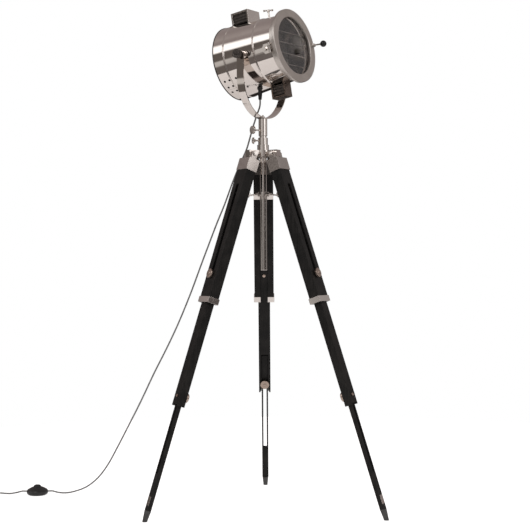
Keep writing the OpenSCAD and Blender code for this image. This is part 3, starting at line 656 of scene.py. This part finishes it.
# %% Leg sections and their fittings
for leg in LEGS:
    dressed(leg + "_upper", wood[leg], 0.0016, 3)
    dressed(leg + "_middle", wood[leg], 0.0009)
    dressed(leg + "_lower", wood[leg], 0.0007)
    dressed(leg + "_foot", foot_rubber, 0.0008)
    # The back leg's cap gets dark steel instead of the caps' satin nickel: painted shade for the shadow it
    # lies in below the hub.
    dressed(leg + "_cap", dark_steel if leg == "back" else cap_metal, 0.0007)
    dressed(leg + "_ferrule", bright_nickel, 0.0005)
    dressed(leg + "_bracket", bright_nickel, 0.0005)
    dressed(leg + "_arm", bright_nickel, 0.0003)
    dressed(leg + "_upper_knob", knob_metal, 0.0004)
    dressed(leg + "_lower_knob", knob_metal, 0.0004)
print("leg pieces", len(LEGS) * 10)

# %% [markdown]
# A nickel strip covers the end of each front leg, above its foot, on the side that looks outwards.

# %% Strips above the front feet
STRIP_LEN = 0.027
STRIP_THICK = 0.0009
STRIP_SUNK = 0.0002
STRIP_MARGIN = 0.002
STRIP_ABOVE_FOOT = 0.0005
for leg in ("left", "right"):
    foot_top = local_box(leg + "_foot", legs[leg])[1].z
    lower_low, lower_high = local_box(leg + "_lower", legs[leg])
    half = (lower_high.y - lower_low.y) / 2 - STRIP_MARGIN
    start = foot_top + STRIP_ABOVE_FOOT
    strip = plate((lower_high.x - STRIP_SUNK, -half, start),
                  (lower_high.x + STRIP_THICK, half, start + STRIP_LEN), 0.0003)
    finished(strip, leg + "_foot_plate", bright_nickel, BODY_OF[leg + "_lower"], (), legs[leg])
print("strip half width", round(half, 4))

# %% [markdown]
# ## Hub and column
# The hub is a cast block with three arms, a short collar and the sleeve that the centre post slides in.

# %% Hub and column
for node in ("hub", "hinge_bolts", "spreader_collar", "centre_post", "yoke_socket"):
    dressed(node, bright_nickel, 0.0005)
for node in ("post_screw", "pan_screw"):
    dressed(node, bright_nickel, 0.0003)
print("column pieces done")

# %% [markdown]
# ## Yoke
# A flat strap bent to a U holds the head by two pivots. A turned knob on each side clamps the tilt. Their
# rims are ridged, so that they can be turned by hand, and each has a slotted screw in its face.

# %% Yoke
dressed("yoke", nickel, 0.0006)
dressed("pivot_studs", bright_nickel, 0.0005)
NECK_LEN = 0.009
NECK_R = 0.007
STUD_R = 0.0043
SCREW_R = 0.0045
GRIP_DEPTH = 0.0006
GRIP_RIDGES = 36
for node, side in (("near_pivot_knob", -1), ("far_pivot_knob", 1)):
    low, high = local_box(node, head)
    reach = high.y if side > 0 else -low.y
    near_end = low.y if side > 0 else -high.y
    knob_r = (high.x - low.x) / 2
    rim_r = knob_r - 0.0009
    neck = near_end + NECK_LEN
    grip = gripped(knob_r, GRIP_DEPTH, GRIP_RIDGES, neck + 0.002, reach - 0.002)
    face = turned(rounded([(near_end, STUD_R), (near_end, NECK_R), (neck, NECK_R), (neck, knob_r - 0.001),
                           (neck + 0.003, rim_r), (reach - 0.003, rim_r), (reach - 0.0002, knob_r - 0.003),
                           (reach, knob_r - 0.005), (reach - 0.0012, knob_r - 0.0065),
                           (reach - 0.0012, 0)], 0.0008), 96)
    screw = turned(rounded([(reach - 0.0014, 0), (reach - 0.0014, SCREW_R), (reach - 0.0002, SCREW_R),
                            (reach - 0.0002, 0)], 0.0005), 48)
    knob = merged((grip, Matrix()), (face, Matrix()), (screw, Matrix()))
    finished(knob, node + "_turned", dark_steel, BODY_OF[node], (node,),
             head @ along((0, side, 0)), turn_out=False)
print("yoke done")

# %% [markdown]
# ## The drum
# The drum is rolled from nickel-plated sheet and is slightly conical. Two beads pressed into it keep it
# round. All of its holes are real, so light falls through them.

# %% Drum
drum_low, drum_high = local_box("drum", drum_place)
BACK, FRONT = drum_low.x, drum_high.x
REAR_R, FRONT_R = 0.115, 0.101
WALL = 0.0012
BEADS = (-0.067, 0.0385)
BEAD_HALF = 0.0034
BEAD_HEIGHT = 0.0019


def drum_r(x):
    """The drum's outer radius at a distance along its axis."""
    return REAR_R + (FRONT_R - REAR_R) * (x - BACK) / (FRONT - BACK)


def bead_profile(x, steps=10):
    """A raised bead as one wave on the drum's outline."""
    spots = [(x + BEAD_HALF * k / steps, math.cos(math.pi * k / steps)) for k in range(-steps, steps + 1)]
    return [(spot, drum_r(spot) + BEAD_HEIGHT * (1 + wave) / 2) for spot, wave in spots]


outline = [(BACK, drum_r(BACK) - WALL), (BACK, drum_r(BACK))]
outline += bead_profile(BEADS[0]) + bead_profile(BEADS[1])
outline += [(FRONT - 0.0015, drum_r(FRONT)), (FRONT, drum_r(FRONT) - 0.0005),
            (FRONT, drum_r(FRONT) - WALL), (FRONT - 0.003, drum_r(FRONT) - WALL)]
outline += [(BEADS[1], drum_r(BEADS[1]) - WALL), (BEADS[0], drum_r(BEADS[0]) - WALL)]
outline.append(outline[0])
print("drum", len(outline), "points in its outline")

# %% [markdown]
# The small holes stand in rows on both sides of the drum's bottom. Larger ones let the gland, the wing
# screw and the air of the two vents through.

# %% Holes of the drum
HOLE_ROWS = (-0.090, -0.073, -0.049, -0.033)
HOLE_ANGLES = (29, 40, 51.5)
HOLE_R = 0.0036


def drill(radius, x, turn, sides=20):
    """A cylinder that goes through the drum's wall, so many degrees round from its bottom."""
    bm = bmesh.new()
    bmesh.ops.create_cone(bm, cap_ends=True, segments=sides, radius1=radius, radius2=radius, depth=0.03,
                          matrix=Matrix.Rotation(math.radians(turn), 4, "X")
                          @ Matrix.Translation((x, 0, -drum_r(x))))
    return bm


GLAND_X, GLAND_ANGLE = -0.004, -16
WING_X = 0.046
TOP, BOTTOM = 180, 0
drills = [drill(HOLE_R, x, side * angle) for x in HOLE_ROWS for angle in HOLE_ANGLES for side in (-1, 1)]
drills.append(drill(0.0053, GLAND_X, GLAND_ANGLE))
drills.append(drill(0.0035, WING_X, TOP))
drills.append(drill(0.019, -0.0405, TOP, 48))
drills.append(drill(0.0105, 0.0525, BOTTOM, 32))
shell = holed(turned(outline, 192), merged(*[(bm, Matrix()) for bm in drills]))
finished(shell, "drum_shell", nickel, "head", ("drum",), drum_place, 40, turn_out=False)
print("small holes", len(HOLE_ROWS) * len(HOLE_ANGLES) * 2)

# %% [markdown]
# The rear cap is pressed from steel and painted dark. Its rim is rolled over the end of the drum, and a
# shallow step stiffens it.

# %% Rear cap
cap_low, cap_high = local_box("rear_cap", drum_place)
cap_r = REAR_R + 0.001
inner_r = drum_r(cap_high.x) - WALL
cap = turned(rounded([(cap_high.x, inner_r - 0.0016), (cap_high.x, inner_r - 0.0002),
                      (BACK - 0.0001, inner_r - 0.0002), (BACK - 0.0001, cap_r),
                      (cap_low.x + 0.0006, cap_r + 0.0004), (cap_low.x, cap_r - 0.002),
                      (cap_low.x + 0.001, cap_r - 0.004), (cap_low.x + 0.0016, 0.088),
                      (cap_low.x, 0.084), (cap_low.x, 0.040), (cap_low.x + 0.0018, 0.036),
                      (cap_low.x + 0.0018, 0)], 0.0012), 160)
finished(cap, "rear_cap_pressed", dark_steel, "head", ("rear_cap",), drum_place)
print("rear cap radius", round(cap_r, 4))

# %% [markdown]
# The front ring carries the glass and swings on its hinge. It is a lathe part: a skirt that goes over the
# drum, a wide flat face and a rolled edge. Brushing it round the axis leaves very fine rings.

# %% Front ring, glass and hinge
RING_FACE = local_box("front_ring", drum_place)[1].x
RING_R = 0.114
OPENING_R = 0.088
SKIRT_X = FRONT - 0.010
SKIRT_IN = drum_r(SKIRT_X) + 0.0006
SKIRT_OUT = SKIRT_IN + 0.0015
GLASS_X = FRONT + 0.0035
GLASS_THICK = 0.003
ring = turned(rounded([(SKIRT_X, SKIRT_IN), (SKIRT_X, SKIRT_OUT), (RING_FACE - 0.003, SKIRT_OUT),
                       (RING_FACE - 0.003, RING_R - 0.002), (RING_FACE - 0.009, RING_R - 0.002),
                       (RING_FACE - 0.009, RING_R), (RING_FACE - 0.001, RING_R),
                       (RING_FACE, RING_R - 0.0015), (RING_FACE, OPENING_R + 0.002),
                       (RING_FACE - 0.0012, OPENING_R), (GLASS_X + 0.0032, OPENING_R),
                       (GLASS_X + 0.0032, SKIRT_IN), (SKIRT_X, SKIRT_IN)], 0.0007), 192)
HINGE_TURN = Matrix.Rotation(math.radians(8), 4, "X")
HINGE_Y = -(SKIRT_OUT + 0.006)
HINGE_X = SKIRT_X
LUG_HALF = 0.006
PIN_R = 0.0021
KNUCKLE_R = 0.004
lug_block = plate((HINGE_X + 0.0003, HINGE_Y, -LUG_HALF), (HINGE_X + 0.005, -SKIRT_IN - 0.0004, LUG_HALF),
                  0.0003)
knuckle = turned(rounded([(-LUG_HALF, PIN_R), (-LUG_HALF, KNUCKLE_R), (LUG_HALF, KNUCKLE_R),
                          (LUG_HALF, PIN_R), (-LUG_HALF, PIN_R)], 0.0003), 48, "Z")
lip_in = OPENING_R + 0.0005
lip_out = SKIRT_IN + 0.0001
lip_front = GLASS_X - 0.0002
lip_back = GLASS_X - 0.002
bezel_lip = turned(rounded([(lip_front, lip_in), (lip_back, lip_in), (lip_back, lip_out),
                            (lip_front, lip_out), (lip_front, lip_in)], 0.0002), 160)
door = merged((ring, Matrix()), (lug_block, HINGE_TURN),
              (knuckle, HINGE_TURN @ Matrix.Translation((HINGE_X, HINGE_Y, 0))), (bezel_lip, Matrix()))
finished(door, "front_ring_turned", satin, "front_door", ("front_ring",), drum_place)
pane_r = SKIRT_IN - 0.0003
pane = turned(rounded([(GLASS_X, 0), (GLASS_X, pane_r), (GLASS_X + GLASS_THICK, pane_r),
                       (GLASS_X + GLASS_THICK, 0)], 0.0004), 160)
finished(pane, "front_pane", clear, "front_door", ("front_glass",), drum_place)
dressed("door_hinge", bright_nickel, 0.0004)
print("front ring", round(RING_FACE, 4))

# %% [markdown]
# A small block on the ring's face carries a rod with a ball of black plastic. It stays cool, so the hot
# ring can be opened by it.

# %% Handle
BLOCK_Y, BLOCK_Z = 0.103, 0.015
HANDLE_LIFT = 7
ROD_R = 0.0025
ROD_END = 0.033
BALL_R = 0.010
BALL_MIDDLE = 0.040
BALL_STEPS = 32
ball_turn = Matrix.Rotation(math.radians(HANDLE_LIFT), 4, "Y")
handle_place = drum_place @ Matrix.Translation((RING_FACE, BLOCK_Y, BLOCK_Z))
handle = merged(
    (plate((0, -0.008, -0.005), (0.007, 0.008, 0.005), 0.0012), Matrix()),
    (turned(rounded([(0.005, 0), (0.005, 0.0042), (0.0105, 0.0036), (0.0105, ROD_R), (ROD_END, ROD_R),
                     (ROD_END, 0)], 0.0006), 48), ball_turn))
finished(handle, "door_handle_rod", bright_nickel, "front_door", ("door_handle",), handle_place)
half_turns = [k * math.pi / BALL_STEPS for k in range(BALL_STEPS + 1)]
ball = turned([(BALL_MIDDLE - BALL_R * math.cos(t), BALL_R * math.sin(t)) for t in half_turns], 64)
finished(ball, "door_handle_ball", plastic, "front_door", ("door_handle",), handle_place @ ball_turn)
print("handle ball", BALL_R)

# %% [markdown]
# The guard behind the glass is a wire hoop with four straight wires, all of one pitch.

# %% Guard
GUARD_X = FRONT - 0.018
WIRE_R = 0.0013
WIRE_PITCH = 0.034
HOOP_HALF = 0.002
hoop_r = drum_r(GUARD_X + HOOP_HALF) - WALL - 0.0001
hoop_in = hoop_r - 0.003
hoop = turned(rounded([(-HOOP_HALF, hoop_in), (-HOOP_HALF, hoop_r), (HOOP_HALF, hoop_r),
                       (HOOP_HALF, hoop_in), (-HOOP_HALF, hoop_in)], 0.0006), 144)
wires = [(hoop, Matrix())]
for row in (-1.5, -0.5, 0.5, 1.5):
    half = math.sqrt((hoop_r - 0.0015) ** 2 - (row * WIRE_PITCH) ** 2)
    wire = turned(rounded([(-half, 0), (-half, WIRE_R), (half, WIRE_R), (half, 0)], 0.0003), 24, "Y")
    wires.append((wire, Matrix.Translation((0, 0, row * WIRE_PITCH))))
finished(merged(*wires), "guard", bright_nickel, "head", ("guard_wires",),
         drum_place @ Matrix.Translation((GUARD_X, 0, 0)))
print("guard wires", len(wires) - 1)

# %% [markdown]
# ## Inside the drum
# The reflector is a spun aluminium dish, so it shows the fine rings of the spinning tool. Its colour is
# made far darker than aluminium, as painted shade for the dim inside of the drum. The bulb is a frosted
# globe in a black holder.

# %% Reflector
DISH_BACK, DISH_RIM = -0.062, 0.030
DISH_HOLE = 0.023
DISH_THICK = 0.0016
DISH_STEPS = 48
rim_r = drum_r(DISH_RIM) - WALL - 0.003
radii = [DISH_HOLE + (rim_r - DISH_HOLE) * k / DISH_STEPS for k in range(DISH_STEPS + 1)]
depth = DISH_RIM - DISH_BACK
spread = rim_r * rim_r - DISH_HOLE * DISH_HOLE
dish = [(DISH_BACK + depth * (r * r - DISH_HOLE * DISH_HOLE) / spread, r) for r in radii]
back = [(x - DISH_THICK, r) for x, r in reversed(dish)]
finished(turned(dish + back + [dish[0]], 144), "reflector_dish", shaded_dish_metal, "head", ("reflector",),
         drum_place)
print("reflector rim", round(rim_r, 4))

# %% Holder and bulb
HOLDER_MOUTH = -0.048
HOLDER_R = 0.020
SOCKET_R = 0.0133
SOCKET_END = -0.080
FLANGE_R = 0.028
FLANGE_X = BACK + 0.0001
holder = turned(rounded([(FLANGE_X, 0), (FLANGE_X, FLANGE_R), (BACK + 0.0041, FLANGE_R),
                         (BACK + 0.0041, HOLDER_R), (-0.070, HOLDER_R), (-0.069, 0.0185), (-0.062, 0.0185),
                         (-0.061, HOLDER_R), (HOLDER_MOUTH, HOLDER_R), (HOLDER_MOUTH, SOCKET_R),
                         (SOCKET_END, SOCKET_R), (SOCKET_END, 0)], 0.0006), 96)
finished(holder, "lamp_holder_turned", plastic, "head", ("lamp_holder",), drum_place)
BULB_BASE_R = 0.0127
BULB_STEPS = 32
bulb_low, bulb_high = local_box("bulb", drum_place)
bulb_r = (bulb_high.z - bulb_low.z) / 2
globe_x = bulb_high.x - bulb_r
bulb_neck = [(-0.079, 0), (-0.079, BULB_BASE_R), (-0.0475, BULB_BASE_R), (-0.040, 0.0150)]
start = math.acos(min(1, (globe_x + 0.030) / bulb_r))
angles = [start + (math.pi - start) * k / BULB_STEPS for k in range(BULB_STEPS + 1)]
globe = [(globe_x - bulb_r * math.cos(a), bulb_r * math.sin(a)) for a in angles]
finished(turned(bulb_neck + globe, 96), "bulb_globe", frosted, "head", ("bulb",), drum_place, 60)
print("bulb radius", round(bulb_r, 4))

# %% [markdown]
# ## Vents, wing screw and gland
# Hot air leaves by a box on the top and enters by a smaller one below. Both are folded from sheet, so their
# edges are a little round. A dark sheet with sloping slats stands just inside each of their open sides. The
# sheet is painted shade, so the insides of the vents look dim.

# %% Vents and their screens of painted shade
SHADE_SCREEN_INSET = 0.0050
SHADE_SCREEN_EDGE = 0.0030
SHADE_SCREEN_HALF = 0.0006
SLATS = 4
SLAT_LEAN = 35
SLAT_OUT = 0.0018
SLAT_SPARE = 0.003


def vent_shade_screen(low, high, outer, side):
    """A dark sheet just inside one open side of a vent, with its slats; the sheet is painted shade for the
    vent's dim inside.
    """
    y = side * (high.y - SHADE_SCREEN_INSET)
    seat = drum_r(low.x) + 0.0005
    foot_z = math.sqrt(seat * seat - y * y) + 0.0006
    sheet = plate((low.x + SHADE_SCREEN_EDGE, y - SHADE_SCREEN_HALF, foot_z),
                  (high.x - SHADE_SCREEN_EDGE, y + SHADE_SCREEN_HALF, outer - SHADE_SCREEN_EDGE), 0.0002)
    parts = [(sheet, Matrix())]
    lean = Matrix.Rotation(side * math.radians(-SLAT_LEAN), 4, "X")
    for k in range(SLATS):
        z = foot_z + SLAT_SPARE + (outer - 0.009 - foot_z - SLAT_SPARE) * k / (SLATS - 1)
        slat = plate((low.x + 0.0060, -0.0016, -0.0005), (high.x - 0.0060, 0.0016, 0.0005), 0.0002)
        parts.append((slat, Matrix.Translation((0, y + side * SLAT_OUT, z)) @ lean))
    return parts


dressed("top_vent", bright_nickel, 0.0006, 3)
# The bottom vent's dark brown finish is painted shade and painted warm reflection.
dressed("bottom_vent", shaded_vent_metal, 0.0006, 3)
for node, flip in (("top_vent", 0), ("bottom_vent", math.pi)):
    low, high = local_box(node, drum_place)
    outer = -low.z if flip else high.z
    # Each screen's dark sheet is painted shade, so the vent's inside looks dim.
    shade_screens = merged(*vent_shade_screen(low, high, outer, -1), *vent_shade_screen(low, high, outer, 1))
    finished(shade_screens, node + "_shade_screens", dark_steel, "head", (),
             drum_place @ Matrix.Rotation(flip, 4, "X"), turn_out=False)
print("slats", 4 * SLATS)

# %% [markdown]
# The wing screw stands on top, in front of the vent. A bar goes through its shank.

# %% Wing screw
SHANK_R = 0.0028
HEAD_R = 0.0045
COLLAR_R = 0.005
BAR_HALF = 0.0155
BAR_END_R = 0.003
BAR_R = 0.0021
BAR_TURN = 42
foot = drum_r(WING_X - 0.005) + 0.0003
bar_z = local_box("wing_screw", drum_place)[1].z - 0.003
shank = turned(rounded([(foot - 0.008, 0), (foot - 0.008, SHANK_R), (foot, SHANK_R), (foot, COLLAR_R),
                        (foot + 0.0025, COLLAR_R), (foot + 0.0025, 0.0035), (foot + 0.006, SHANK_R),
                        (bar_z - 0.006, SHANK_R), (bar_z - 0.004, HEAD_R), (bar_z + 0.002, HEAD_R),
                        (bar_z + 0.003, 0.003), (bar_z + 0.003, 0)], 0.0006), 48, "Z")
bar = turned(rounded([(-BAR_HALF, 0), (-BAR_HALF, BAR_END_R), (-0.011, BAR_END_R), (-0.009, BAR_R),
                      (0.009, BAR_R), (0.011, BAR_END_R), (BAR_HALF, BAR_END_R), (BAR_HALF, 0)],
                     0.0009), 32)
bar_place = Matrix.Translation((0, 0, bar_z)) @ Matrix.Rotation(math.radians(BAR_TURN), 4, "Z")
finished(merged((shank, Matrix()), (bar, bar_place)), "wing_screw_bar", bright_nickel,
         BODY_OF["wing_screw"], ("wing_screw",), drum_place @ Matrix.Translation((WING_X, 0, 0)),
         turn_out=False)
print("wing screw bar at", round(bar_z, 4))

# %% [markdown]
# The cord enters through a gland: a hexagonal nut on the drum and a tapered rubber boot. The boot hangs
# straight down and is ribbed, so that it bends evenly when the cord is pulled.

# %% Gland and its boot
BOOT_TOP_R = 0.006
RIBS = 7
RIBS_START = -0.0165
FIRST_RIB_R = 0.0069
RIB_TAPER = 0.0014
GROOVE = 0.0009
gland_turn = Matrix.Rotation(math.radians(GLAND_ANGLE), 4, "X")
gland_place = drum_place @ gland_turn @ Matrix.Translation((GLAND_X, 0, -drum_r(GLAND_X)))
gland_seat = gland_place.translation
boot_tip = cord_points[0].z + 0.0004 - gland_seat.z
ribs = [(-0.003, 0), (-0.003, BOOT_TOP_R), (-0.0145, BOOT_TOP_R), (-0.0155, 0.0068)]
rib_step = (-boot_tip + RIBS_START) / RIBS
for k in range(RIBS):
    start = RIBS_START - k * rib_step
    radius = FIRST_RIB_R - RIB_TAPER * k / (RIBS - 1)
    ribs += [(start, radius), (start - rib_step * 0.55, radius - 0.0001),
             (start - rib_step * 0.65, radius - GROOVE), (start - rib_step * 0.9, radius - GROOVE)]
ribs += [(boot_tip, 0.0045), (boot_tip, 0.0026), (boot_tip + 0.002, 0)]
boot = turned(ribs, 64, "Z")
NUT_R = 0.0088
NUT_THICK = 0.0045
THREAD_R = 0.005
hexagon = bolt_head(NUT_R, NUT_THICK)
thread = turned([(0.006, 0), (0.006, THREAD_R), (-0.004, THREAD_R), (-0.004, 0)], 48, "Z")
nut = merged((hexagon, along((0, 0, -1), (0, 0, -0.0005))), (thread, Matrix()))
gland = merged((boot, Matrix.Translation(gland_seat)), (nut, gland_place))
finished(gland, "cable_gland_boot", rubber, "head", ("cable_gland",))
print("head done")

# %% [markdown]
# ## Cord, switch and plug
# The cord is a curve with a round bevel, so its centre line is the exact length that was laid out.

# %% Cord, switch and plug
dressed("foot_switch", plastic, 0.0006)
dressed("switch_button", plastic, 0.0004)
dressed("plug", plastic, 0.001)
curve = bpy.data.curves.new("mains_cord", "CURVE")
curve.dimensions = "3D"
curve.bevel_depth = CORD_D / 2
curve.bevel_resolution = 3
curve.use_fill_caps = True
line = curve.splines.new("POLY")
line.points.add(len(cord_points) - 1)
for spot, p in zip(line.points, cord_points):
    spot.co = (*p, 1)
curve.materials.append(sheath)
mains_cord = bpy.data.objects.new("mains_cord", curve)
bpy.context.scene.collection.objects.link(mains_cord)
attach(mains_cord, "stand")
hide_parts("cord_run", "cord_coil")
print("cord drawn through", len(cord_points), "points")
